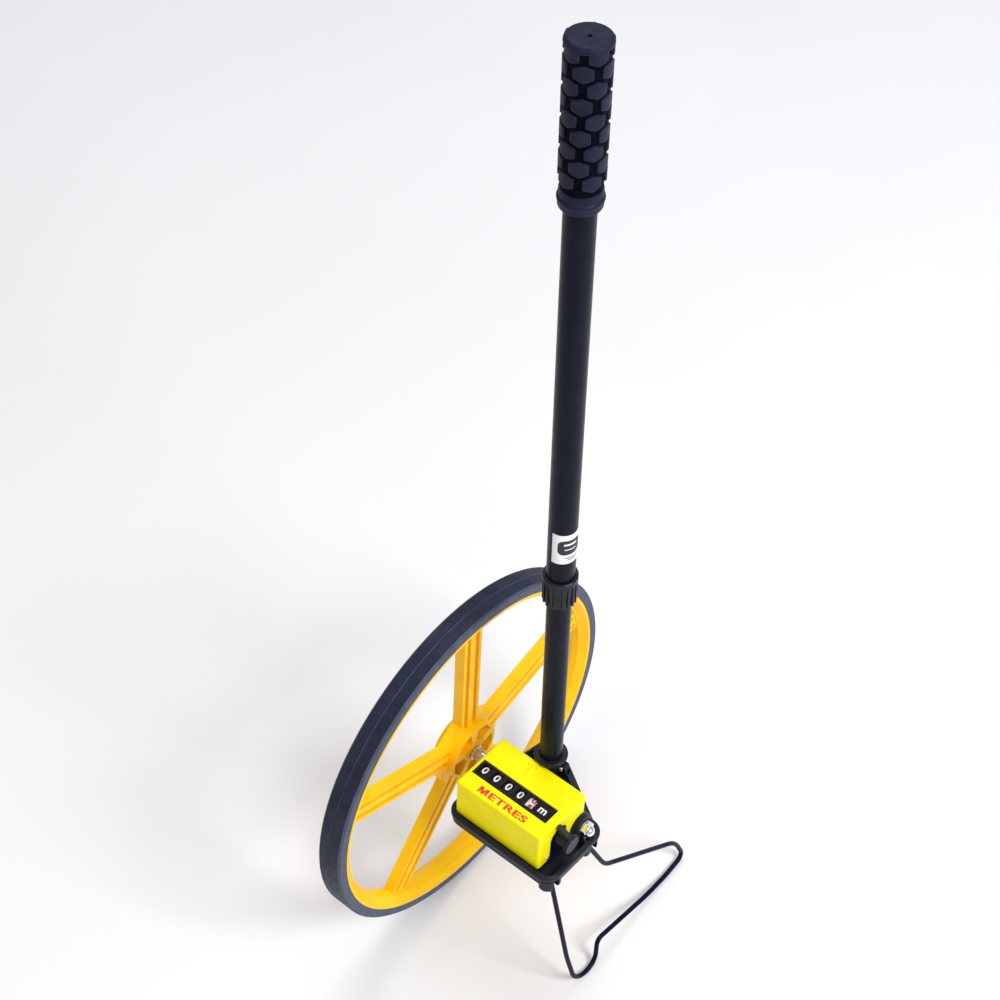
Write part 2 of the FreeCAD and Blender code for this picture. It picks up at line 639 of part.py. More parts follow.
def grip():
    """Rubber grip: a straight body, a short rounded cap with a hole and a flared bottom end."""
    low, high = GRIP_SPAN
    edge = 2.0
    outline = [
        (UPPER_TUBE_R, low), (UPPER_TUBE_R + 1.4, low), (GRIP_CAP_R, low + 5.0), (GRIP_CAP_R, low + 9.0),
        (GRIP_R, low + 10.0), (GRIP_R, high - CAP_BAND - edge - 1), (GRIP_CAP_R, high - CAP_BAND - edge),
        (GRIP_CAP_R, high - edge), (GRIP_CAP_R - 0.6, high - 0.7), (GRIP_CAP_R - edge, high),
        (CAP_HOLE_R, high), (CAP_HOLE_R, high - CAP_SKIN), (UPPER_TUBE_R, high - CAP_SKIN),
    ]
    return on_handle(spun(outline, Z_AXIS))


def handle_plug():
    """Plug in the top end of the upper tube, just under the grip's cap."""
    bore = UPPER_TUBE_R - TUBE_WALL
    top = UPPER_TUBE_SPAN[1]
    stem = z_rod(bore, (top - 12, top))
    flange = z_rod(UPPER_TUBE_R, (top, top + 1.6))
    return on_handle(stem.fuse(flange).cut(z_rod(CAP_HOLE_R, (top - 14, top + 3))))


def label_band():
    """Thin paper label wrapped round the front of the upper tube."""
    ring = z_tube(UPPER_TUBE_R, UPPER_TUBE_R + LABEL_T, LABEL_SPAN)
    keep = block((-30, 30), (-30, 0.7), (LABEL_SPAN[0] - 1, LABEL_SPAN[1] + 1))
    return on_handle(ring.common(keep))


# ---- counter cover ------------------------------------------------------------------------------
def cover_openings():
    """Cut-outs for the window, the bearing blocks, the reset knob and the screw."""
    cuts = [block(WINDOW_X, WINDOW_Y, (COVER_Z[1] - 4, COVER_Z[1] + 1))]
    below = COVER_Z[0] - 1
    for span in (BLOCK_LEFT_Y, BLOCK_RIGHT_Y):
        y = (span[0] - NOTCH_GAP, span[1] + NOTCH_GAP)
        r = BLOCK_R + NOTCH_GAP
        cuts += [y_rod(r, y), block((-r, r), y, (below, 0)), block((-19.0, 0), y, (below, TRAY_FLOOR + 5.2))]
    x, z = DRUM_SHAFT
    end = (COVER_Y[0] - 1, COVER_Y[0] + COVER_WALL + 1)
    sides = (x - KNOB_NOTCH_R, x + KNOB_NOTCH_R)
    cuts += [y_rod(KNOB_NOTCH_R, end, x, z), block(sides, end, (below, z))]
    cuts += [cover_screw_shank(sx, sz) for sx, sz in COVER_SCREWS]
    return cuts


def counter_cover():
    body = rounded_block(COVER_X, COVER_Y, COVER_Z, COVER_CORNER_R)
    body = rounded_at_height(body, COVER_EDGE_R, COVER_Z[1])
    body = body.cut(block(inset(COVER_X, COVER_WALL), inset(COVER_Y, COVER_WALL),
                          (COVER_Z[0] - 1, COVER_Z[1] - COVER_WALL)))
    for cut in cover_openings():
        body = body.cut(cut)
    return body.removeSplitter()


def cover_screw_shank(x, z):
    """Shank of the screw along Y through the cover's end wall into the tray's lug."""
    return y_rod(COVER_SCREW_R, (COVER_Y[0], COVER_Y[0] + 6), x, z)


def cover_screw(x, z):
    """A small pan-head screw in the cover's right end."""
    face = COVER_Y[0]
    outer = face - COVER_SCREW_HEAD_T
    head = y_rod(COVER_SCREW_HEAD_R, (outer, face), x, z)
    head = head.makeFillet(0.6, [e for e in head.Edges if e.CenterOfMass.y < outer + 0.1 and e.Closed])
    slot = block((x - 3, x + 3), (outer - 1, outer + 0.6), (z - 0.3, z + 0.3))
    return cover_screw_shank(x, z).fuse(head).cut(slot)


def window_lens():
    return block(inset(WINDOW_X, RUNNING), inset(WINDOW_Y, RUNNING), (LENS_TOP - LENS_T, LENS_TOP))


def window_mask():
    """Black mask under the lens, with one opening over each number drum."""
    top = LENS_TOP - LENS_T
    body = block(inset(WINDOW_X, RUNNING), inset(WINDOW_Y, RUNNING), (top - MASK_T, top))
    half_x, half_y = 5.2, 3.9
    for k in range(len(DRUM_NAMES)):
        y = drum_y(k)
        x = DRUM_SHAFT[0]
        body = body.cut(block((x - half_x, x + half_x), (y - half_y, y + half_y), (top - 3, top + 1)))
    return body


# ---- counter works ------------------------------------------------------------------------------
def drum_y(k):
    return FIRST_DRUM_Y - DRUM_PITCH * k


def polar(radius, degrees):
    """Offset in x and z for a direction measured from +Z towards +X."""
    return (radius * math.sin(math.radians(degrees)), radius * math.cos(math.radians(degrees)))


def pinion_place():
    distance = CARRY_MODULE * (DRUM_TEETH + PINION_TEETH) / 2
    dx, dz = polar(distance, PINION_SIDE_DEG)
    return DRUM_SHAFT[0] + dx, DRUM_SHAFT[1] + dz


def mesh_angle(of, towards):
    """Direction from one axis to another, from +Z towards +X, in degrees."""
    return math.degrees(math.atan2(towards[0] - of[0], towards[1] - of[1]))


def idler_place():
    """The idler sits half-way between the axle and the drum shaft."""
    return DRUM_SHAFT[0] / 2, DRUM_SHAFT[1] / 2


def idler_gear():
    """Idler whose gap meets the axle pinion's tooth; its pitch circle spans both small gears."""
    x, z = idler_place()
    phase = mesh_angle((x, z), (0, 0)) + 180 / IDLER_TEETH
    body = gear(DRIVE_MODULE, IDLER_TEETH, inset(GEAR_FACE, 0.3), phase)
    body.translate(V(x, 0, z))
    return body.cut(y_rod(IDLER_PIN_R + RUNNING, (-120, -80), x, z))


def idler_pin():
    x, z = idler_place()
    head_from = GEAR_FACE[1] - 0.25
    stem = y_rod(IDLER_PIN_R, (EAR_RIGHT[0] - 0.6, head_from), x, z)
    return stem.fuse(y_rod(2.6, (head_from, head_from + 0.4), x, z))


def tenths_gear():
    """Small gear on the tenths drum, in mesh with the idler on the line to the axle."""
    x, z = DRUM_SHAFT
    towards_axle = mesh_angle(DRUM_SHAFT, (0, 0))
    gaps_round_idler = mesh_angle(idler_place(), DRUM_SHAFT) - mesh_angle(idler_place(), (0, 0))
    idler_step = 360 / IDLER_TEETH
    off_gap = (gaps_round_idler - idler_step / 2) % idler_step
    half_step = 180 / DRIVE_TEETH
    phase = towards_axle if abs(off_gap - idler_step / 2) < TINY else towards_axle + half_step
    body = gear(DRIVE_MODULE, DRIVE_TEETH, GEAR_FACE, phase)
    body.translate(V(x, 0, z))
    return body.cut(y_rod(DRUM_SHAFT_R + RUNNING, (-120, -80), x, z))


def number_drum(k):
    """A number drum with a web, a hub and, on its right side, the gear that its pinion turns."""
    x, z = DRUM_SHAFT
    y = drum_y(k)
    half = DRUM_WIDTH / 2
    body = y_tube(DRUM_R - DRUM_WALL, DRUM_R, (y - half, y + half), x, z)
    body = body.fuse(y_rod(DRUM_R - DRUM_WALL + TINY, (y - 1, y + 1), x, z))
    body = body.fuse(y_rod(DRUM_HUB_R, (y - half, y + half), x, z))
    if DRUM_NAMES[k] != "tenths":
        phase = mesh_angle(DRUM_SHAFT, pinion_place()) + 180 / DRUM_TEETH
        face = (y - half - 2.8, y - half)
        ring = gear(CARRY_MODULE, DRUM_TEETH, face, phase)
        ring.translate(V(x, 0, z))
        body = body.fuse(ring).fuse(y_rod(11.0, (y - half, y - 1), x, z))
    else:
        body = body.fuse(y_rod(4.6, (GEAR_FACE[1], y - 1), x, z))
    return body.cut(y_rod(DRUM_SHAFT_R + RUNNING, (y - 10, y + 10), x, z)).removeSplitter()


def carry_pinion(k):
    """Pinion to the right of drum k, in mesh with that drum's gear."""
    px, pz = pinion_place()
    y = drum_y(k) - DRUM_WIDTH / 2
    phase = mesh_angle((px, pz), DRUM_SHAFT)
    body = gear(CARRY_MODULE, PINION_TEETH, (y - 2.7, y - 0.2), phase)
    body.translate(V(px, 0, pz))
    return body.cut(y_rod(PINION_SHAFT_R + RUNNING, (y - 5, y + 5), px, pz))


def chassis_ear(span, back_x):
    """One upright of the chassis, holding the drum shaft and the pinion shaft."""
    front, back = CHASSIS_X
    corners = [(front, TRAY_FLOOR), (back, TRAY_FLOOR), (back, -6), (back_x, 0), (back_x, 12), (back - 1, 23),
               (front + 14, 23), (front, 8)]
    body = prism_along_y(corners, span)
    x, z = DRUM_SHAFT
    px, pz = pinion_place()
    body = body.cut(y_rod(DRUM_SHAFT_R + RUNNING, (span[0] - 1, span[1] + 1), x, z))
    return body.cut(y_rod(PINION_SHAFT_R, (span[0] - 1, span[1] + 1), px, pz))


def counter_chassis():
    base = block(CHASSIS_X, (EAR_RIGHT[0], EAR_LEFT[1]), (TRAY_FLOOR, TRAY_FLOOR + CHASSIS_T))
    body = base.fuse(chassis_ear(EAR_LEFT, -19.0)).fuse(chassis_ear(EAR_RIGHT, -9.0))
    x, z = idler_place()
    body = body.cut(y_rod(IDLER_PIN_R, (EAR_RIGHT[0] - 1, EAR_RIGHT[1] + 1), x, z))
    for x, y in CHASSIS_SCREWS:
        body = body.cut(z_rod(SCREW_R, (TRAY_FLOOR - 1, TRAY_FLOOR + 3), x, y))
    return body.removeSplitter()


def pinion_shaft():
    px, pz = pinion_place()
    return y_rod(PINION_SHAFT_R, (EAR_RIGHT[0] - 0.6, EAR_LEFT[1] + 0.4), px, pz)


def reset_shaft():
    x, z = DRUM_SHAFT
    return y_rod(DRUM_SHAFT_R, (KNOB_Y[0] + KNOB_SOCKET_FLOOR, EAR_LEFT[1] + 0.4), x, z)


def knob_wing():
    """Flat wing whose top edge slopes down from the cover to the disc."""
    x, z = DRUM_SHAFT
    low, high = KNOB_Y
    outer = low + 0.6
    profile = [(high, 0), (high, KNOB_WING), (outer + 2.6, KNOB_WING - KNOB_WING_FALL),
               (outer, KNOB_DISC_R - 1.0), (outer, 0)]
    corners = [V(x - KNOB_WING_T / 2, y, z + up) for y, up in profile]
    wing = Part.Face(Part.makePolygon(corners + corners[:1])).extrude(V(KNOB_WING_T, 0, 0))
    top = [e for e in wing.Edges if e.CenterOfMass.z > z + KNOB_DISC_R - 2 and e.Length > 3]
    return wing.makeFillet(0.7, top)


def reset_knob():
    """Wing knob on the end of the reset shaft: a hub, an outer disc and one wing."""
    x, z = DRUM_SHAFT
    low, high = KNOB_Y
    disc = y_rod(KNOB_DISC_R, (low, low + KNOB_DISC_T), x, z)
    disc = disc.makeFillet(0.8, [e for e in disc.Edges if e.Closed])
    body = disc.fuse(y_rod(KNOB_HUB_R, (low + 1, high), x, z)).fuse(knob_wing())
    body = body.cut(y_rod(DRUM_SHAFT_R, (low + KNOB_SOCKET_FLOOR, high + 1), x, z)).removeSplitter()
    body.rotate(V(x, 0, z), Y_AXIS, KNOB_TURN_DEG)
    return body


# ---- wire stand ---------------------------------------------------------------------------------
def floor_distance(x):
    """Distance down the stand's plane from the hinge line to where the resting wire's middle lies."""
    pitch, lean = math.radians(PITCH_DEG), math.radians(STAND_LEAN_DEG)
    z = (-(WHEEL_R - WIRE_R) + x * math.sin(pitch)) / math.cos(pitch)
    return (STAND_HINGE[1] - z) / math.cos(lean)


def stand_route():
    """Corners of the loop in its plane: x along the tray, distance down from the hinge, bend radius."""
    front, back = STAND_LEGS_X
    elbow = 2.5
    return [
        (front + STAND_PIN, 0.0, 0.0), (front, 0.0, elbow),
        (-36.5, 103.1, 160.0),
        (-28.5, floor_distance(-28.5), 18.0), (-2.5, floor_distance(-2.5), 12.0),
        (2.5, 120.1, 6.5),
        (70.0, 129.3, 110.0), (97.0, floor_distance(97.0), 60.0),
        (122.0, floor_distance(122.0), 6.5), (111.5, 100.1, 36.0),
        (18.5, 41.1, 28.0),
        (back, 0.0, elbow), (back - STAND_PIN, 0.0, 0.0),
    ]


def stand_point(x, down):
    lean = math.radians(STAND_LEAN_DEG)
    y, z = STAND_HINGE
    return V(x, y - down * math.sin(lean), z - down * math.cos(lean))


def rounded_path(route, place):
    """A wire of straight runs and tangent arcs through a list of corners with bend radii."""
    points = [place(x, s) for x, s, _ in route]
    edges = []
    start = points[0]
    for k in range(1, len(route) - 1):
        here = points[k]
        back = (points[k - 1] - here).normalize()
        ahead = (points[k + 1] - here).normalize()
        turn = math.pi - back.getAngle(ahead)
        radius = route[k][2]
        reach = radius * math.tan(turn / 2)
        first = here + back * reach
        last = here + ahead * reach
        towards = (back + ahead).normalize()
        middle = here + towards * (radius / math.cos(turn / 2) - radius)
        edges.append(Part.LineSegment(start, first).toShape())
        edges.append(Part.Arc(first, middle, last).toShape())
        start = last
    edges.append(Part.LineSegment(start, points[-1]).toShape())
    return Part.Wire(edges)


def stand_wire():
    path = rounded_path(stand_route(), stand_point)
    begin = stand_point(*stand_route()[0][:2])
    circle = Part.Wire([Part.makeCircle(WIRE_R, begin, X_AXIS)])
    return path.makePipeShell([circle], True, True)


# ---- assembly -----------------------------------------------------------------------------------
def build_nodes():
    nodes = {
        "tyre": tyre(),
        "spoked_wheel": spoked_wheel(),
        "base_tray": base_tray(),
        "rear_bracket": rear_bracket(),
        "socket_collar": socket_collar(),
        "socket_bolt": socket_bolt(),
        "socket_nut": socket_nut(),
        "bracket_screws": Part.makeCompound([bracket_screw(y) for y in BRACKET_SCREWS_Y]),
        "block_screws": floor_screws(BLOCK_SCREWS, BLOCK_FOOT_T),
        "chassis_screws": floor_screws(CHASSIS_SCREWS, CHASSIS_T),
        "bearing_block_left": bearing_block(BLOCK_LEFT_Y),
        "bearing_block_right": bearing_block(BLOCK_RIGHT_Y),
        "axle_bush_left": axle_bush(BLOCK_LEFT_Y),
        "axle_bush_right": axle_bush(BLOCK_RIGHT_Y),
        "lower_tube": lower_tube(),
        "tube_end_guide": tube_end_guide(),
        "upper_tube": upper_tube(),
        "clamp_collet": clamp_collet(),
        "lock_collar": lock_collar(),
        "grip": grip(),
        "handle_plug": handle_plug(),
        "label_band": label_band(),
        "counter_cover": counter_cover(),
        "cover_screws": Part.makeCompound([cover_screw(x, z) for x, z in COVER_SCREWS]),
        "window_lens": window_lens(),
        "window_mask": window_mask(),
        "counter_chassis": counter_chassis(),
        "pinion_shaft": pinion_shaft(),
        "reset_shaft": reset_shaft(),
        "reset_knob": reset_knob(),
        "idler_gear": idler_gear(),
        "idler_pin": idler_pin(),
        "tenths_gear": tenths_gear(),
        "stand_wire": stand_wire(),
    }
    nodes.update(axle_parts())
    for k, name in enumerate(DRUM_NAMES):
        nodes["drum_" + name] = number_drum(k)
        if name != "tenths":
            nodes["pinion_" + name] = carry_pinion(k)
    return nodes


def width_middle(nodes):
    """Middle of the object's width, between the axle's left end and the stand's outermost point."""
    return (nodes["axle"].BoundBox.YMax + nodes["stand_wire"].optimalBoundingBox(False).YMin) / 2


def stood_on_floor(shape, middle_y):
    """Pitches a shape onto the stand and moves the origin to the floor under the object's middle."""
    copy = shape.copy()
    copy.rotate(ORIGIN, Y_AXIS, PITCH_DEG)
    copy.translate(V(0, -middle_y, WHEEL_R))
    return copy


def main():
    os.makedirs("parts", exist_ok=True)
    nodes = build_nodes()
    middle_y = width_middle(nodes)
    for name, shape in nodes.items():
        stood_on_floor(shape, middle_y).exportStep("parts/" + name + ".step")
    return nodes


NODES = main()
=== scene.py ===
import json
import math

import bmesh
import bpy
from mathutils import Matrix, Vector


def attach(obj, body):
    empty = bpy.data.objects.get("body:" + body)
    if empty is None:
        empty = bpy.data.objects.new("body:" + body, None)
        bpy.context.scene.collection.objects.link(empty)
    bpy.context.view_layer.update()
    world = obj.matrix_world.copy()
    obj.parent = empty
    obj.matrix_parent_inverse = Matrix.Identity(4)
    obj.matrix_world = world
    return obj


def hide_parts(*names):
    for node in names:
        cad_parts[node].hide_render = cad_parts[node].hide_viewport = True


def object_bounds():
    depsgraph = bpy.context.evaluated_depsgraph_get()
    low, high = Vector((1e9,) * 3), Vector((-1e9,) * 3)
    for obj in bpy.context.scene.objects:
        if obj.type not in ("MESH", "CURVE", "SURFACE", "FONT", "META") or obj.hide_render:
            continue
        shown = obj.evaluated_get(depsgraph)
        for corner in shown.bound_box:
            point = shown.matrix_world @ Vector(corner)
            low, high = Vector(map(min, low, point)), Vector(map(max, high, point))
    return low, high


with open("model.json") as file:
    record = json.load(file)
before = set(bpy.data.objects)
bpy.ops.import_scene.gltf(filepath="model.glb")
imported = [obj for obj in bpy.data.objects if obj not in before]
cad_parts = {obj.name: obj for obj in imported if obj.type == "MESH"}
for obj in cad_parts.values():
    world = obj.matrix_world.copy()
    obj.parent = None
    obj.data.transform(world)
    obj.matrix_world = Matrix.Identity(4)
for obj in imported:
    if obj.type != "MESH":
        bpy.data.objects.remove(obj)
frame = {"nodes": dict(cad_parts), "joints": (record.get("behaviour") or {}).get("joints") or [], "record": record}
CAD_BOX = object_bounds()

MM = 0.001
NODES = frame["nodes"]
RECORD = frame["record"]
JOINTS = {j["name"]: j for j in frame["joints"]}
MOUNTS = {m["name"]: m for m in RECORD["mounts"]}

# ---- the object's own frames, from the record ----------------------------------------------------
Y_AXIS = Vector((0, 1, 0))


def frame_matrix(origin, x_axis, z_axis):
    """Matrix of a frame at origin, with +Y along the axle."""
    turn = Matrix((x_axis, Y_AXIS, z_axis)).transposed()
    return Matrix.Translation(origin) @ turn.to_4x4()


TRAY_X = -Vector(JOINTS["stand_swing"]["axis"])
WHEEL_CENTRE = Vector(JOINTS["wheel_spin"]["pos_m"])
TRAY = frame_matrix(WHEEL_CENTRE, TRAY_X, TRAY_X.cross(Y_AXIS))      # the tray's own upright frame

HANDLE_UP = Vector(MOUNTS["grip_cap"]["axis"])
HANDLE = frame_matrix(Vector(MOUNTS["grip_cap"]["pos_m"]), Y_AXIS.cross(HANDLE_UP), HANDLE_UP)


def box_in(node, matrix):
    """A CAD node's box at rest, in the frame of matrix, in metres."""
    back = matrix.inverted()
    places = [back @ v.co for v in NODES[node].data.vertices]
    low = Vector([min(p[i] for p in places) for i in range(3)])
    high = Vector([max(p[i] for p in places) for i in range(3)])
    return low, high


# ---- materials -----------------------------------------------------------------------------------
NOISE_LOW, NOISE_HIGH = 0.35, 0.65      # most of a noise texture lies between these
SPECKLES_PER_CLOUD = 5


def node_of(tree, kind, **settings):
    """A shader node; settings name its own attributes or, with spaces as underscores, its inputs."""
    node = tree.nodes.new(kind)
    for name, value in settings.items():
        if hasattr(node, name):
            setattr(node, name, value)
        else:
            node.inputs[name.replace("_", " ")].default_value = value
    return node


def noise(tree, grain_mm, stretch=(1, 1, 1), detail=3.0):
    """Noise whose features are about grain_mm across."""
    place = node_of(tree, "ShaderNodeTexCoord")
    scaled = node_of(tree, "ShaderNodeMapping", Scale=stretch)
    cloud = node_of(tree, "ShaderNodeTexNoise", Scale=1 / (grain_mm * MM), Detail=detail)
    tree.links.new(place.outputs["Object"], scaled.inputs["Vector"])
    tree.links.new(scaled.outputs["Vector"], cloud.inputs["Vector"])
    return cloud.outputs["Fac"]


def between(tree, value, low, high):
    """value's middle range, spread from low to high."""
    spread = node_of(tree, "ShaderNodeMapRange", From_Min=NOISE_LOW, From_Max=NOISE_HIGH,
                     To_Min=low, To_Max=high)
    tree.links.new(value, spread.inputs["Value"])
    return spread.outputs["Result"]


def colours(tree, value, first, second):
    """A colour that goes from first to second with value; each is a colour or a socket that gives one."""
    mix = node_of(tree, "ShaderNodeMix", data_type="RGBA")
    tree.links.new(value, mix.inputs["Factor"])
    for socket, colour in zip([s for s in mix.inputs if s.type == "RGBA"], (first, second)):
        if isinstance(colour, bpy.types.NodeSocket):
            tree.links.new(colour, socket)
        else:
            socket.default_value = (*colour, 1)
    return [s for s in mix.outputs if s.type == "RGBA"][0]


def bump(tree, height, depth_mm, under=None):
    """A bump normal, depth_mm deep, laid over the normal under."""
    node = node_of(tree, "ShaderNodeBump", Strength=1.0, Distance=depth_mm * MM)
    tree.links.new(height, node.inputs["Height"])
    if under is not None:
        tree.links.new(under, node.inputs["Normal"])
    return node.outputs["Normal"]


def finish(name, first, second, roughness, grain, cloud_mm=9.0, metallic=0.0, coat=0.0, sheen=0.0,
           specular=0.5, rounding_mm=0.0, stretch=(1, 1, 1)):
    """A procedural finish.

    Its colour drifts from first to second in clouds of cloud_mm, its roughness is a pair of limits, and
    grain is a list of (size, depth) in mm. rounding_mm softens the highlights of sharp edges.
    """
    material = bpy.data.materials.new(name)
    material.use_nodes = True
    tree = material.node_tree
    shader = tree.nodes["Principled BSDF"]
    cloud = noise(tree, cloud_mm)
    tree.links.new(colours(tree, between(tree, cloud, 0, 1), first, second), shader.inputs["Base Color"])
    speckle = noise(tree, cloud_mm / SPECKLES_PER_CLOUD, stretch)
    tree.links.new(between(tree, speckle, *roughness), shader.inputs["Roughness"])
    normal = None
    if rounding_mm:
        normal = node_of(tree, "ShaderNodeBevel", samples=4, Radius=rounding_mm * MM).outputs["Normal"]
    for size, depth in grain:
        normal = bump(tree, noise(tree, size, stretch), depth, normal)
    if normal is not None:
        tree.links.new(normal, shader.inputs["Normal"])
    shader.inputs["Metallic"].default_value = metallic
    shader.inputs["Coat Weight"].default_value = coat
    shader.inputs["Sheen Weight"].default_value = sheen
    shader.inputs["Specular IOR Level"].default_value = specular
    return material


def tyre_finish():
    """Tyre rubber: a dark tread, and side walls painted paler, a painted light for the key lamp that falls on that
    side.
    """
    material = finish("tyre_rubber", (0.010, 0.014, 0.032), (0.018, 0.023, 0.048), (0.46, 0.6),
                      [(0.5, 0.03), (4.0, 0.03)], cloud_mm=14, specular=0.2, rounding_mm=0.5)
    tree = material.node_tree
    shader = tree.nodes["Principled BSDF"]
    tread = shader.inputs["Base Color"].links[0].from_socket
    facing = node_of(tree, "ShaderNodeSeparateXYZ")
    tree.links.new(node_of(tree, "ShaderNodeNewGeometry").outputs["True Normal"], facing.inputs["Vector"])
    sideways = node_of(tree, "ShaderNodeMath", operation="ABSOLUTE")
    tree.links.new(facing.outputs["Y"], sideways.inputs[0])
    # painted light: faces that look along the axle (the side walls) get a paler colour, as if lit by the key lamp
    painted_side_light = colours(tree, between(tree, noise(tree, 9.0), 0, 1), (0.060, 0.076, 0.118), (0.080, 0.098, 0.145))
    tree.links.new(colours(tree, sideways.outputs["Value"], tread, painted_side_light), shader.inputs["Base Color"])
    return material


def clear_finish(name):
    """Clear window plastic: a faint gloss over what lies under it."""
    material = finish(name, (0.02, 0.02, 0.03), (0.03, 0.03, 0.04), (0.22, 0.3), [(6.0, 0.004)], specular=0.3)
    material.node_tree.nodes["Principled BSDF"].inputs["Alpha"].default_value = 0.04
    return material


FINISHES = {
    "tyre": tyre_finish(),
    "wheel_yellow": finish("wheel_plastic", (1.0, 0.53, 0.003), (1.0, 0.60, 0.005), (0.3, 0.44),
                           [(0.35, 0.006), (9.0, 0.05)], cloud_mm=22, specular=0.16, rounding_mm=0.7),
    "cover_yellow": finish("cover_plastic", (0.93, 0.86, 0.0), (0.89, 0.80, 0.0), (0.36, 0.48),
                           [(0.3, 0.01), (7.0, 0.02)], cloud_mm=16, specular=0.16, rounding_mm=0.5),
    "black_plastic": finish("black_plastic", (0.006, 0.008, 0.015), (0.010, 0.012, 0.022), (0.30, 0.44),
                            [(0.35, 0.012), (3.0, 0.01)], specular=0.22, rounding_mm=0.5),
    "grip_rubber": finish("grip_rubber", (0.006, 0.008, 0.024), (0.010, 0.013, 0.034), (0.42, 0.58),
                          [(0.3, 0.015), (1.5, 0.02)], cloud_mm=6, specular=0.16, rounding_mm=0.2),
    "black_tube": finish("black_tube", (0.003, 0.005, 0.012), (0.005, 0.007, 0.016), (0.26, 0.36),
                         [(1.2, 0.004)], cloud_mm=18, specular=0.09),
    "black_wire": finish("black_wire", (0.003, 0.003, 0.022), (0.005, 0.005, 0.030), (0.24, 0.36),
                         [(2.5, 0.02)], specular=0.09),
    "zinc_steel": finish("zinc_steel", (0.58, 0.58, 0.60), (0.70, 0.70, 0.72), (0.2, 0.34),
                         [(0.4, 0.006)], cloud_mm=3, metallic=1.0, rounding_mm=0.25),
    "chrome": finish("chrome", (0.80, 0.79, 0.80), (0.88, 0.87, 0.88), (0.05, 0.12),
                     [(1.5, 0.002)], cloud_mm=3, metallic=1.0, rounding_mm=0.25),
    "bronze": finish("bronze", (0.46, 0.29, 0.13), (0.58, 0.38, 0.18), (0.35, 0.5),
                     [(0.2, 0.01)], cloud_mm=2, metallic=1.0, rounding_mm=0.2),
    "steel_axle": finish("ground_steel", (0.50, 0.50, 0.52), (0.60, 0.60, 0.62), (0.22, 0.34),
                         [(0.25, 0.005)], cloud_mm=4, metallic=1.0, stretch=(1, 0.1, 1)),
    "white_plastic": finish("white_plastic", (0.78, 0.78, 0.76), (0.84, 0.84, 0.83), (0.35, 0.5),
                            [(0.3, 0.008)], rounding_mm=0.2),
    "drum_black": finish("drum_black", (0.003, 0.003, 0.006), (0.005, 0.005, 0.009), (0.4, 0.5),
                         [(0.3, 0.004)], cloud_mm=4, specular=0.15, rounding_mm=0.2),
    "drum_white": finish("drum_white", (0.88, 0.87, 0.89), (0.94, 0.93, 0.95), (0.35, 0.5),
                         [(0.3, 0.004)], cloud_mm=4, rounding_mm=0.2),
    "lens": clear_finish("window_clear"),
    "label_paper": finish("label_paper", (0.80, 0.80, 0.84), (0.88, 0.88, 0.91), (0.4, 0.6),
                          [(0.15, 0.01), (0.8, 0.01)], cloud_mm=5),
}
# painted shade: a near-black copy of the grip rubber for the groove floors, standing in for the shade in the
# recesses
GROOVE_PAINTED_SHADE = finish("grip_groove_painted_shade", (0.001, 0.001, 0.004), (0.002, 0.002, 0.006), (0.5, 0.65),
                       [(0.3, 0.015), (1.5, 0.02)], cloud_mm=6, specular=0.04)
MASK_BLACK = finish("mask_black", (0.004, 0.004, 0.006), (0.006, 0.006, 0.009), (0.5, 0.6),
                    [(2.5, 0.004)], cloud_mm=6, specular=0.2)
WHITE_INK = finish("white_ink", (0.95, 0.95, 0.96), (0.99, 0.99, 0.99), (0.4, 0.55), [(0.2, 0.004)],
                   cloud_mm=2)
RED_INK = finish("red_ink", (0.66, 0.014, 0.006), (0.74, 0.024, 0.008), (0.4, 0.55), [(0.2, 0.004)],
                 cloud_mm=2)
BLACK_INK = finish("black_ink", (0.006, 0.006, 0.012), (0.010, 0.010, 0.018), (0.4, 0.55), [(0.2, 0.006)],
                   cloud_mm=2)


def dress_nodes():
    """Gives every CAD node the finish of its slot."""
    for part in RECORD["subparts"]:
        mesh = NODES[part["node"]].data
        mesh.materials.clear()
        own = MASK_BLACK if part["node"] == "window_mask" else FINISHES[part["material_slot"]]
        mesh.materials.append(own)


# ---- mesh helpers --------------------------------------------------------------------------------
SHARP_DEG = 35          # edges that turn further than this are sharp
MOULDED_DEG = 50        # the same for moulded pieces with soft edges


def piece(name, bm, material, body, sharp_deg=SHARP_DEG):
    """A new visible piece that rides on a body, with the given material."""
    bmesh.ops.recalc_face_normals(bm, faces=bm.faces)
    mesh = bpy.data.meshes.new(name)
    bm.to_mesh(mesh)
    bm.free()
    mesh.shade_smooth()
    mesh.set_sharp_from_angle(angle=math.radians(sharp_deg))
    mesh.materials.append(material)
    thing = bpy.data.objects.new(name, mesh)
    bpy.context.scene.collection.objects.link(thing)
    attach(thing, body)
    return thing


def arc(centre_r, centre_z, radius, from_deg, to_deg, steps=6):
    """Points (r, z) along an arc of a lathe's outline."""
    turns = [math.radians(from_deg + (to_deg - from_deg) * k / steps) for k in range(steps + 1)]
    return [(centre_r + radius * math.cos(t), centre_z + radius * math.sin(t)) for t in turns]


def skin(bm, lower, upper):
    """Faces between two closed rings of vertices."""
    count = len(lower)
    for i in range(count):
        j = (i + 1) % count
        bm.faces.new((lower[i], lower[j], upper[j], upper[i]))


def lathe(bm, outline, matrix, segments=96):
    """Turns a closed outline of (r, z) points in mm about the Z axis of matrix."""
    rings = []
    for k in range(segments):
        t = 2 * math.pi * k / segments
        rings.append([bm.verts.new(matrix @ Vector((r * math.cos(t), r * math.sin(t), z)))
                      for r, z in [(r * MM, z * MM) for r, z in outline]])
    for here, there in zip(rings, rings[1:] + rings[:1]):
        skin(bm, here, there)


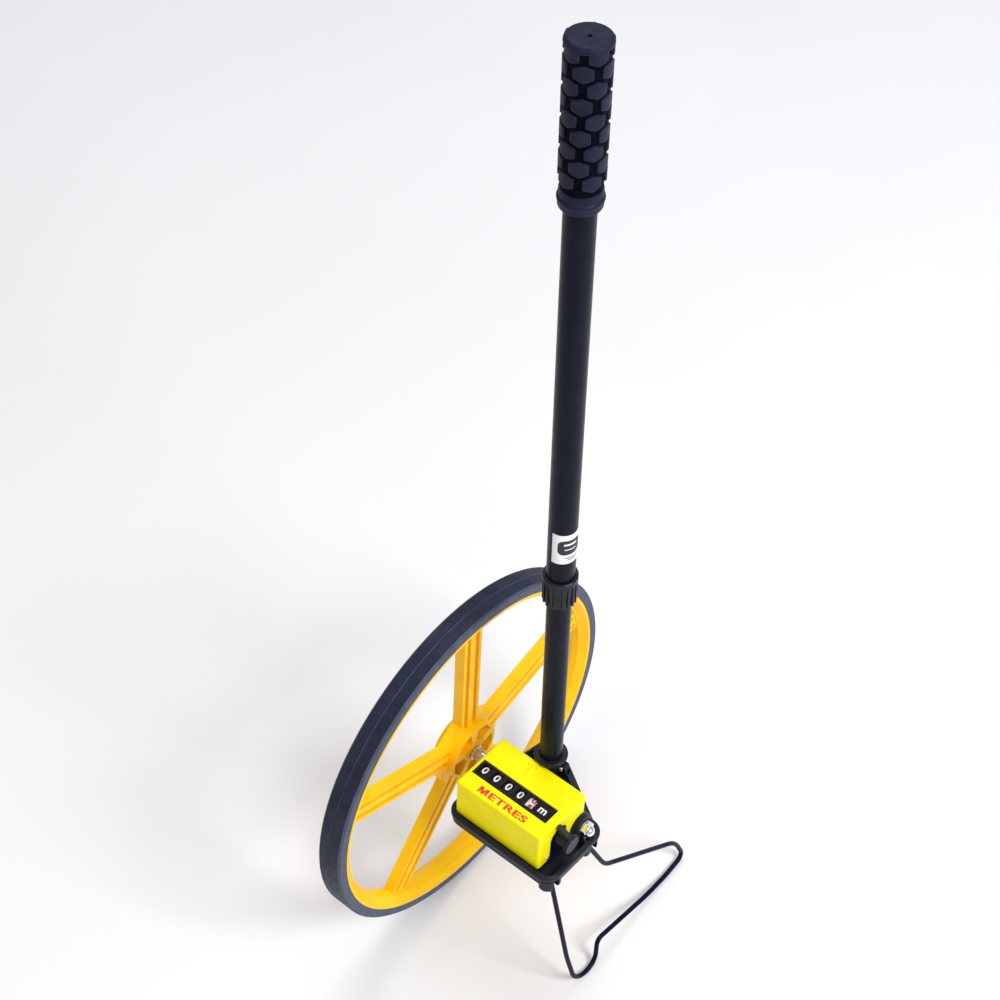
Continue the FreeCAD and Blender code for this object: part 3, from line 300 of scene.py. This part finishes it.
def flat_text(words, height_mm, width_mm, weight, spacing=1.0):
    """A bmesh of flat lettering in the XY plane, centred, in metres."""
    curve = bpy.data.curves.new("lettering", "FONT")
    curve.body = words
    curve.space_character = spacing
    curve.offset = weight
    curve.resolution_u = 5
    thing = bpy.data.objects.new("lettering", curve)
    bpy.context.scene.collection.objects.link(thing)
    graph = bpy.context.evaluated_depsgraph_get()
    mesh = bpy.data.meshes.new_from_object(thing.evaluated_get(graph))
    bpy.data.objects.remove(thing)
    bpy.data.curves.remove(curve)
    bm = bmesh.new()
    bm.from_mesh(mesh)
    bpy.data.meshes.remove(mesh)
    bmesh.ops.remove_doubles(bm, verts=bm.verts, dist=1e-5)
    low = Vector((min(v.co.x for v in bm.verts), min(v.co.y for v in bm.verts)))
    high = Vector((max(v.co.x for v in bm.verts), max(v.co.y for v in bm.verts)))
    tall = height_mm * MM / (high.y - low.y)
    wide = width_mm * MM / (high.x - low.x)
    for v in bm.verts:
        v.co = Vector(((v.co.x - (low.x + high.x) / 2) * wide, (v.co.y - (low.y + high.y) / 2) * tall, 0))
    return bm


def letter_m(tall_mm, wide_mm):
    """A flat capital M, centred, in metres."""
    half, stroke = wide_mm / 2, wide_mm * 0.21
    top, foot = tall_mm / 2, -tall_mm / 2
    right_side = [(stroke * 0.62, foot), (half - stroke, top - stroke * 1.9), (half - stroke, foot),
                  (half, foot), (half, top), (half - stroke * 1.45, top), (0, foot + stroke * 1.7)]
    left_side = [(-x, y) for x, y in right_side[-2::-1]]
    bm = bmesh.new()
    bm.faces.new([bm.verts.new((x * MM, y * MM, 0)) for x, y in right_side + left_side])
    return bm


def sliced(bm, axis, step_mm):
    """Cuts a flat bmesh across an axis every step_mm, so that it can be bent."""
    reach = max(abs(v.co[axis]) for v in bm.verts)
    count = int(reach / (step_mm * MM))
    normal = Vector([1.0 if i == axis else 0.0 for i in range(3)])
    for k in range(-count, count + 1):
        cut = normal * k * step_mm * MM
        bmesh.ops.bisect_plane(bm, geom=[*bm.verts, *bm.edges, *bm.faces], dist=1e-7, plane_co=cut,
                               plane_no=normal)
    return bm


def thickened(bm, thickness_mm):
    """Gives a flat bmesh that faces +Z a thickness above its plane."""
    bmesh.ops.recalc_face_normals(bm, faces=bm.faces)
    made = bmesh.ops.extrude_face_region(bm, geom=list(bm.faces))
    for v in [g for g in made["geom"] if isinstance(g, bmesh.types.BMVert)]:
        v.co.z += thickness_mm * MM
    return bm


def moved(bm, place):
    """Moves each vertex with the function place."""
    for v in bm.verts:
        v.co = place(v.co)
    return bm


def joined(first, second):
    """Adds the second bmesh to the first."""
    mesh = bpy.data.meshes.new("joining")
    second.to_mesh(mesh)
    second.free()
    first.from_mesh(mesh)
    bpy.data.meshes.remove(mesh)
    return first


# ---- grip ----------------------------------------------------------------------------------------
GRIP_LOW, GRIP_HIGH = [corner.z / MM for corner in box_in("grip", HANDLE)]
TUBE_R = box_in("upper_tube", HANDLE)[1].y / MM
CAP_R = MOUNTS["grip_cap"]["dims"]["r_mm"]
HOLE_R = MOUNTS["cap_hole"]["dims"]["r_mm"]
HOLE_DEEP = 4.0         # thickness of the cap
CAP_TALL = 4.4          # height of the cap's rim
CAP_ROUND = 2.9
LIP_ROUND = 2.2         # lip at the grip's lower end
LIP_UP = 3.0
BEAD_ROUND = 2.6        # bead above the lip
BEAD_UP = 7.4
NECK_UP = 15.0          # where the straight floor of the grooves starts
PAD_R = 14.6            # top of the pads
GROOVE_R = 13.1         # floor of the grooves between the pads
GROOVE_SLACK = 0.3
PAD_FOOT_R = GROOVE_R - 0.4
PADS_ROUND = 5
PAD_ROWS = 9
PAD_STEP = 10.7         # from one row to the next
FIRST_PAD = 25.1        # middle of the lowest row above the grip's lower end
FIRST_PAD_TURN = 243.0  # direction of a pad of the lowest row, from forward towards the left
PAD_HALF_WIDTH = 6.5
PAD_SLOPE = 0.36
PAD_PEAK = 5.7          # from a pad's middle to its point
PAD_CORNER = 0.8
PAD_SIDE_STEPS = 5


def grip_core():
    """The grip without its pads: bead, groove floor and cap with a small hole."""
    cap_low = GRIP_HIGH - CAP_TALL
    outline = [(TUBE_R, GRIP_LOW), (TUBE_R + 1.2, GRIP_LOW)]
    outline += arc(TUBE_R + 1.4, GRIP_LOW + LIP_UP, LIP_ROUND, -50, 10, 4)
    outline += arc(CAP_R - BEAD_ROUND, GRIP_LOW + BEAD_UP, BEAD_ROUND, -25, 55, 8)
    neck = GRIP_LOW + NECK_UP
    outline += [(GROOVE_R + 0.6, neck - 1.5), (GROOVE_R, neck), (GROOVE_R, cap_low)]
    outline += [(CAP_R - 0.7, cap_low + 0.1)] + arc(CAP_R - 0.6, cap_low + 0.8, 0.6, -75, 0, 4)
    outline += arc(CAP_R - CAP_ROUND, GRIP_HIGH - CAP_ROUND, CAP_ROUND, 0, 90, 8)
    outline += [(6.0, GRIP_HIGH), (HOLE_R + 0.9, GRIP_HIGH - 0.25)]
    outline += arc(HOLE_R + 0.4, GRIP_HIGH - 0.75, 0.4, 90, 180, 4)
    outline += [(HOLE_R, GRIP_HIGH - HOLE_DEEP), (TUBE_R, GRIP_HIGH - HOLE_DEEP)]
    bm = bmesh.new()
    lathe(bm, outline, HANDLE)
    return bm


def darken_grooves(core):
    """Paints shade on the floor of the grooves between the pads: a darker copy of the rubber stands in for the
    shade in these recesses.
    """
    core.data.materials.append(GROOVE_PAINTED_SHADE)
    back = HANDLE.inverted()
    for face in core.data.polygons:
        place = back @ face.center
        radius = math.hypot(place.x, place.y) / MM
        upright = abs(face.normal.dot(HANDLE_UP)) < 0.3
        if upright and abs(radius - GROOVE_R) < GROOVE_SLACK:
            face.material_index = 1


def pad_outline():
    """The rim of one pad: a hexagon standing on a point, with rounded corners, as (along, up) in mm."""
    side = PAD_PEAK - PAD_SLOPE * PAD_HALF_WIDTH
    w = PAD_HALF_WIDTH
    corners = [(0, PAD_PEAK), (w, side), (w, -side), (0, -PAD_PEAK), (-w, -side), (-w, side)]
    points = []
    for k, (x, y) in enumerate(corners):
        here = Vector((x, y))
        before = (Vector(corners[k - 1]) - here).normalized()
        after = (Vector(corners[(k + 1) % 6]) - here).normalized()
        start, end = here + before * PAD_CORNER, here + after * PAD_CORNER
        for t in (0, 0.33, 0.67, 1):
            points.append(start.lerp(here, t).lerp(here.lerp(end, t), t))
        onward = Vector(corners[(k + 1) % 6]) - after * PAD_CORNER
        points += [end.lerp(onward, i / PAD_SIDE_STEPS) for i in range(1, PAD_SIDE_STEPS)]
    return points


def add_pad(bm, turn_deg, height_mm):
    """One raised pad of the grip."""
    rings = [(1.0, PAD_FOOT_R), (1.0, PAD_R - 0.45), (0.975, PAD_R - 0.14), (0.93, PAD_R - 0.02),
             (0.84, PAD_R), (0.56, PAD_R), (0.28, PAD_R)]

    def place(along, up, radius):
        t = math.radians(turn_deg) + along / PAD_R
        return HANDLE @ Vector((radius * math.cos(t) * MM, radius * math.sin(t) * MM, (height_mm + up) * MM))

    rim = pad_outline()
    made = [[bm.verts.new(place(p.x * size, p.y * size, radius)) for p in rim] for size, radius in rings]
    for lower, upper in zip(made, made[1:]):
        skin(bm, lower, upper)
    middle = bm.verts.new(place(0, 0, PAD_R))
    foot = bm.verts.new(place(0, 0, PAD_FOOT_R))
    count = len(rim)
    for i in range(count):
        j = (i + 1) % count
        bm.faces.new((made[-1][i], made[-1][j], middle))
        bm.faces.new((made[0][j], made[0][i], foot))


def make_grip():
    rubber = FINISHES["grip_rubber"]
    core = piece("grip_core", grip_core(), rubber, "upper_handle", MOULDED_DEG)
    darken_grooves(core)
    bm = bmesh.new()
    for row in range(PAD_ROWS):
        for k in range(PADS_ROUND):
            turn = FIRST_PAD_TURN + (k + row % 2 / 2) * 360 / PADS_ROUND
            add_pad(bm, turn, GRIP_LOW + FIRST_PAD + row * PAD_STEP)
    piece("grip_pads", bm, rubber, "upper_handle", MOULDED_DEG)
    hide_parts("grip")


# ---- counter's figures ---------------------------------------------------------------------------
DRUMS = ("thousands", "hundreds", "tens", "units", "tenths")
FIGURE_TALL = 7.6
FIGURE_WIDE = 4.6
FIGURE_WEIGHT = 0.024
ONE_WIDE = 0.62         # width of a 1, as a part of the others'
FIGURE_TURN = 5.0       # every drum shows its figure this far past the top, in degrees
TENTHS_TURN = 14.0      # the tenths drum shows its figure this much further
FIGURE_SLICE = 0.6      # figures are cut this fine, so that they bend round the drum
DRUM_HALF = 4.2         # half width of a drum's printed rim
INK = 0.05


def drum_centre(name):
    """A point on a drum's axis, in the tray's frame."""
    return TRAY.inverted() @ Vector(JOINTS[name + "_spin"]["pos_m"])


def drum_frame(name):
    """Frame at the middle of a drum's printed rim; +Z is up to the window."""
    centre = drum_centre(name)
    left_edge = box_in("drum_" + name, TRAY)[1].y
    return TRAY @ Matrix.Translation((centre.x, left_edge - DRUM_HALF * MM, centre.z))


def drum_figures(name, further_deg):
    """The ten figures round one drum, rising towards the handle as the wheel rolls forward."""
    radius = box_in("drum_" + name, TRAY)[1].z - drum_centre(name).z
    place = drum_frame(name)
    whole = bmesh.new()
    for figure in range(10):
        width = FIGURE_WIDE * (ONE_WIDE if figure == 1 else 1)
        bm = flat_text(str(figure), FIGURE_TALL, width, FIGURE_WEIGHT)
        thickened(sliced(bm, 1, FIGURE_SLICE), INK)
        start = math.radians(FIGURE_TURN + further_deg - 36 * figure)

        def wrap(p):
            t = start + p.y / radius
            r = radius + p.z
            return place @ Vector((r * math.sin(t), -p.x, r * math.cos(t)))

        joined(whole, moved(bm, wrap))
    return whole


def make_figures():
    for name in DRUMS:
        last = name == "tenths"
        figures = drum_figures(name, TENTHS_TURN if last else 0.0)
        ink, slot = (RED_INK, "drum_white") if last else (WHITE_INK, "white_plastic")
        piece("figures_" + name, figures, ink, "drum_" + name)


# ---- marks on the cover --------------------------------------------------------------------------
COVER_LOW, COVER_HIGH = box_in("counter_cover", TRAY)
MASK_LOW, MASK_HIGH = box_in("window_mask", TRAY)
UNIT_TALL, UNIT_WIDE, UNIT_WEIGHT = 5.0, 7.0, 0.022
UNIT_SHIFT = 1.0                # to the left of the middle between the last drum and the window's end
WORD_TALL, WORD_WIDE, WORD_WEIGHT = 6.5, 47.0, 0.032
WORD_SPACING = 1.04
WORD_SHIFT = (-0.6, 0.8)        # from the middle of the strip in front of the window
FIRST_LETTER_WIDE = 8.6
LETTER_GAP = 1.5
ARROW_MIDDLE = (-2.5, -70.5)    # in the tray's frame
ARROW_HALF = 8.0                # half the length of its shaft
BARB_HALF = 3.6                 # half the length of each bar of its head
BARB_TURN = 38                  # between a barb and the shaft, in degrees
BAR_HALF_WIDTH = 0.95
BAR_TALL = 0.9
BAR_SLOPE = 0.12                # how far a bar's sides lean in
BAR_SUNK = 0.1
BAR_STEP = 0.02                 # from one bar's top to the next, so that no two lie in one plane
PANE_LIFT = 0.15                # gap between the window pane and the mask
PANE_EDGE = 0.25


def on_top(x, y, z):
    """Where flat lettering lies, read from in front: text-right is -Y and text-up is +X."""
    return lambda p: TRAY @ Vector((x + p.y, y - p.x, z + p.z))


def shifted(distance_mm):
    """A move along +X."""
    return lambda p: p + Vector((distance_mm * MM, 0, 0))


def make_marks():
    """The unit at the right end of the window, and the word in front of it."""
    unit = thickened(flat_text("m", UNIT_TALL, UNIT_WIDE, UNIT_WEIGHT), INK)
    last_rim = (TRAY.inverted() @ drum_frame("tenths").translation).y - DRUM_HALF * MM
    unit_y = (MASK_LOW.y + last_rim) / 2 + UNIT_SHIFT * MM
    moved(unit, on_top((MASK_LOW.x + MASK_HIGH.x) / 2, unit_y, MASK_HIGH.z))
    piece("unit_mark", unit, WHITE_INK, "frame")

    rest_wide = WORD_WIDE - FIRST_LETTER_WIDE - LETTER_GAP
    first = moved(letter_m(WORD_TALL, FIRST_LETTER_WIDE), shifted((FIRST_LETTER_WIDE - WORD_WIDE) / 2))
    rest = moved(flat_text("ETRES", WORD_TALL, rest_wide, WORD_WEIGHT, WORD_SPACING),
                 shifted((WORD_WIDE - rest_wide) / 2))
    word = joined(first, rest)
    word_x = (COVER_LOW.x + MASK_LOW.x) / 2 + WORD_SHIFT[0] * MM
    word_y = (COVER_LOW.y + COVER_HIGH.y) / 2 + WORD_SHIFT[1] * MM
    moved(thickened(word, INK), on_top(word_x, word_y, COVER_HIGH.z))
    piece("unit_word", word, RED_INK, "frame")


def raised_bar(bm, place, half_length, height):
    """A low bar with sloping sides along the X axis of place, on its XY plane."""
    low = [(x * half_length, y * BAR_HALF_WIDTH, -BAR_SUNK) for x, y in ((1, 1), (-1, 1), (-1, -1), (1, -1))]
    high = [(x - math.copysign(BAR_SLOPE, x), y - math.copysign(BAR_SLOPE, y), height) for x, y, _ in low]
    foot, top = [[bm.verts.new(place @ (Vector(p) * MM)) for p in ring] for ring in (low, high)]
    skin(bm, foot, top)
    bm.faces.new(top)
    bm.faces.new(foot[::-1])


def make_arrow():
    """Plain moulded arrow on the cover behind the window, in the direction of rolling."""
    x, y = ARROW_MIDDLE
    tip = TRAY @ Matrix.Translation(((x + ARROW_HALF) * MM, y * MM, COVER_HIGH.z))
    bm = bmesh.new()
    bars = ((ARROW_HALF, 180), (BARB_HALF, 180 - BARB_TURN), (BARB_HALF, 180 + BARB_TURN))
    for k, (half_length, turn) in enumerate(bars):
        back = Matrix.Rotation(math.radians(turn), 4, "Z") @ Matrix.Translation((half_length * MM, 0, 0))
        raised_bar(bm, tip @ back, half_length, BAR_TALL - BAR_STEP * k)
    piece("rolling_arrow", bm, FINISHES["cover_yellow"], "frame", MOULDED_DEG)


def make_lens():
    """Clear window with rounded edges, a hair above the mask."""
    low, high = box_in("window_lens", TRAY)
    bm = bmesh.new()
    bmesh.ops.create_cube(bm, size=1.0)
    size = high - low
    for v in bm.verts:
        v.co = Vector([low[i] + size[i] * (v.co[i] + 0.5) for i in range(3)])
        if v.co.z < (low.z + high.z) / 2:
            v.co.z += PANE_LIFT * MM
    bmesh.ops.bevel(bm, geom=list(bm.edges), offset=PANE_EDGE * MM, segments=3, affect="EDGES", profile=0.5)
    pane = piece("window_pane", moved(bm, lambda p: TRAY @ p), FINISHES["lens"], "frame")
    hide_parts("window_lens")


# ---- label ---------------------------------------------------------------------------------------
LABEL_LOW = box_in("label_band", HANDLE)[0]
LABEL_R = -LABEL_LOW.y
LABEL_FACING = math.radians(250)     # from forward towards the left
LABEL_SLICE = 0.8
PRINT = 0.03                         # thickness of the label's print
OVERPRINT = 0.06                     # thickness of print that lies on print
LABEL_PRINT = (
    # name, along and up from the label's facing line and lower edge, width, height, corner, ink, thickness
    ("label_block", 0.0, 16.5, 19.0, 14.5, 4.5, BLACK_INK, PRINT),
    ("label_block_bar", 0.0, 19.5, 10.0, 1.6, 0.5, WHITE_INK, OVERPRINT),
    ("label_block_line", 0.0, 14.5, 9.0, 0.8, 0.3, WHITE_INK, OVERPRINT),
    ("label_line_0", 2.0, 6.0, 12.0, 0.8, 0.3, BLACK_INK, PRINT),
    ("label_line_1", 2.0, 4.0, 8.0, 0.8, 0.3, BLACK_INK, PRINT),
)


def label_patch(name, along_mm, up_mm, wide_mm, tall_mm, corner_mm, ink, thickness_mm):
    """A printed patch with round corners, wrapped round the label."""
    w, h, c = wide_mm / 2, tall_mm / 2, corner_mm
    rim = []
    for sx, sy, first in ((1, 1, 0), (-1, 1, 90), (-1, -1, 180), (1, -1, 270)):
        for k in range(5):
            t = math.radians(first + 90 * k / 4)
            rim.append((sx * (w - c) + c * math.cos(t), sy * (h - c) + c * math.sin(t)))
    bm = bmesh.new()
    bm.faces.new([bm.verts.new((x * MM, y * MM, 0)) for x, y in rim])
    thickened(sliced(bm, 0, LABEL_SLICE), thickness_mm)

    def wrap(p):
        t = LABEL_FACING + (p.x + along_mm * MM) / LABEL_R
        r = LABEL_R + p.z
        return HANDLE @ Vector((r * math.cos(t), r * math.sin(t), LABEL_LOW.z + up_mm * MM + p.y))

    piece(name, moved(bm, wrap), ink, "upper_handle")


def make_label():
    for row in LABEL_PRINT:
        label_patch(*row)


# ---- stage, lights and camera --------------------------------------------------------------------
FLOOR_SIZE = 16                      # metres
SKY_COLOUR = (0.93, 0.95, 1.0)
SKY_STRENGTH = 0.56
LAMPS = (
    # name, place from the object's middle in metres, size in metres, watts, colour
    ("key_right", (0.2, -1.9, 1.6), 1.0, 50, (1.0, 1.0, 1.0)),
    ("fill_left", (-1.8, 0.2, 1.3), 1.0, 5, (1.0, 0.78, 0.5)),
    ("back_top", (1.0, 0.6, 2.3), 1.2, 22, (1.0, 1.0, 1.0)),
)
CAMERA_AT = (-0.6027, -0.5593, 1.5232)
CAMERA_AZIMUTH = -46.748             # degrees, as the two below
CAMERA_ELEVATION = 50.589
CAMERA_ROLL = -4.129
LENS_MM = 71.26
SENSOR_MM = 36.0


def make_floor():
    bpy.ops.mesh.primitive_plane_add(size=FLOOR_SIZE)
    floor = bpy.context.object
    floor.name = "floor"
    floor.data.materials.append(finish("pale_floor", (0.84, 0.84, 0.85), (0.86, 0.86, 0.87), (0.6, 0.7),
                                       [(3.0, 0.01)], cloud_mm=400, specular=0.2))


def softbox(name, place, target, size, watts, colour):
    """A square area light at place that looks at target."""
    lamp = bpy.data.lights.new(name, "AREA")
    lamp.color = colour
    lamp.size = size
    lamp.energy = watts
    thing = bpy.data.objects.new(name, lamp)
    thing.location = place
    thing.rotation_euler = (target - place).to_track_quat("-Z", "Y").to_euler()
    bpy.context.scene.collection.objects.link(thing)


def make_lights():
    world = bpy.data.worlds.new("studio")
    world.use_nodes = True
    sky = world.node_tree.nodes["Background"]
    sky.inputs["Color"].default_value = (*SKY_COLOUR, 1)
    sky.inputs["Strength"].default_value = SKY_STRENGTH
    bpy.context.scene.world = world
    middle = (CAD_BOX[0] + CAD_BOX[1]) / 2
    for name, place, size, watts, colour in LAMPS:
        softbox(name, middle + Vector(place), middle, size, watts, colour)


def make_camera():
    data = bpy.data.cameras.new("camera")
    data.lens = LENS_MM
    data.sensor_width = SENSOR_MM
    a, e = math.radians(CAMERA_AZIMUTH), math.radians(CAMERA_ELEVATION)
    back = Vector((math.sin(a) * math.cos(e), -math.cos(a) * math.cos(e), math.sin(e)))
    right = Vector((math.cos(a), math.sin(a), 0))
    turn = Matrix((right, back.cross(right), back)).transposed().to_4x4()
    roll = Matrix.Rotation(math.radians(CAMERA_ROLL), 4, "Z")
    camera = bpy.data.objects.new("camera", data)
    camera.matrix_world = Matrix.Translation(CAMERA_AT) @ turn @ roll
    bpy.context.scene.collection.objects.link(camera)
    bpy.context.scene.camera = camera


dress_nodes()
make_grip()
make_figures()
make_marks()
make_arrow()
make_lens()
make_label()
make_floor()
make_lights()
make_camera()
bpy.context.scene.view_settings.view_transform = "Standard"
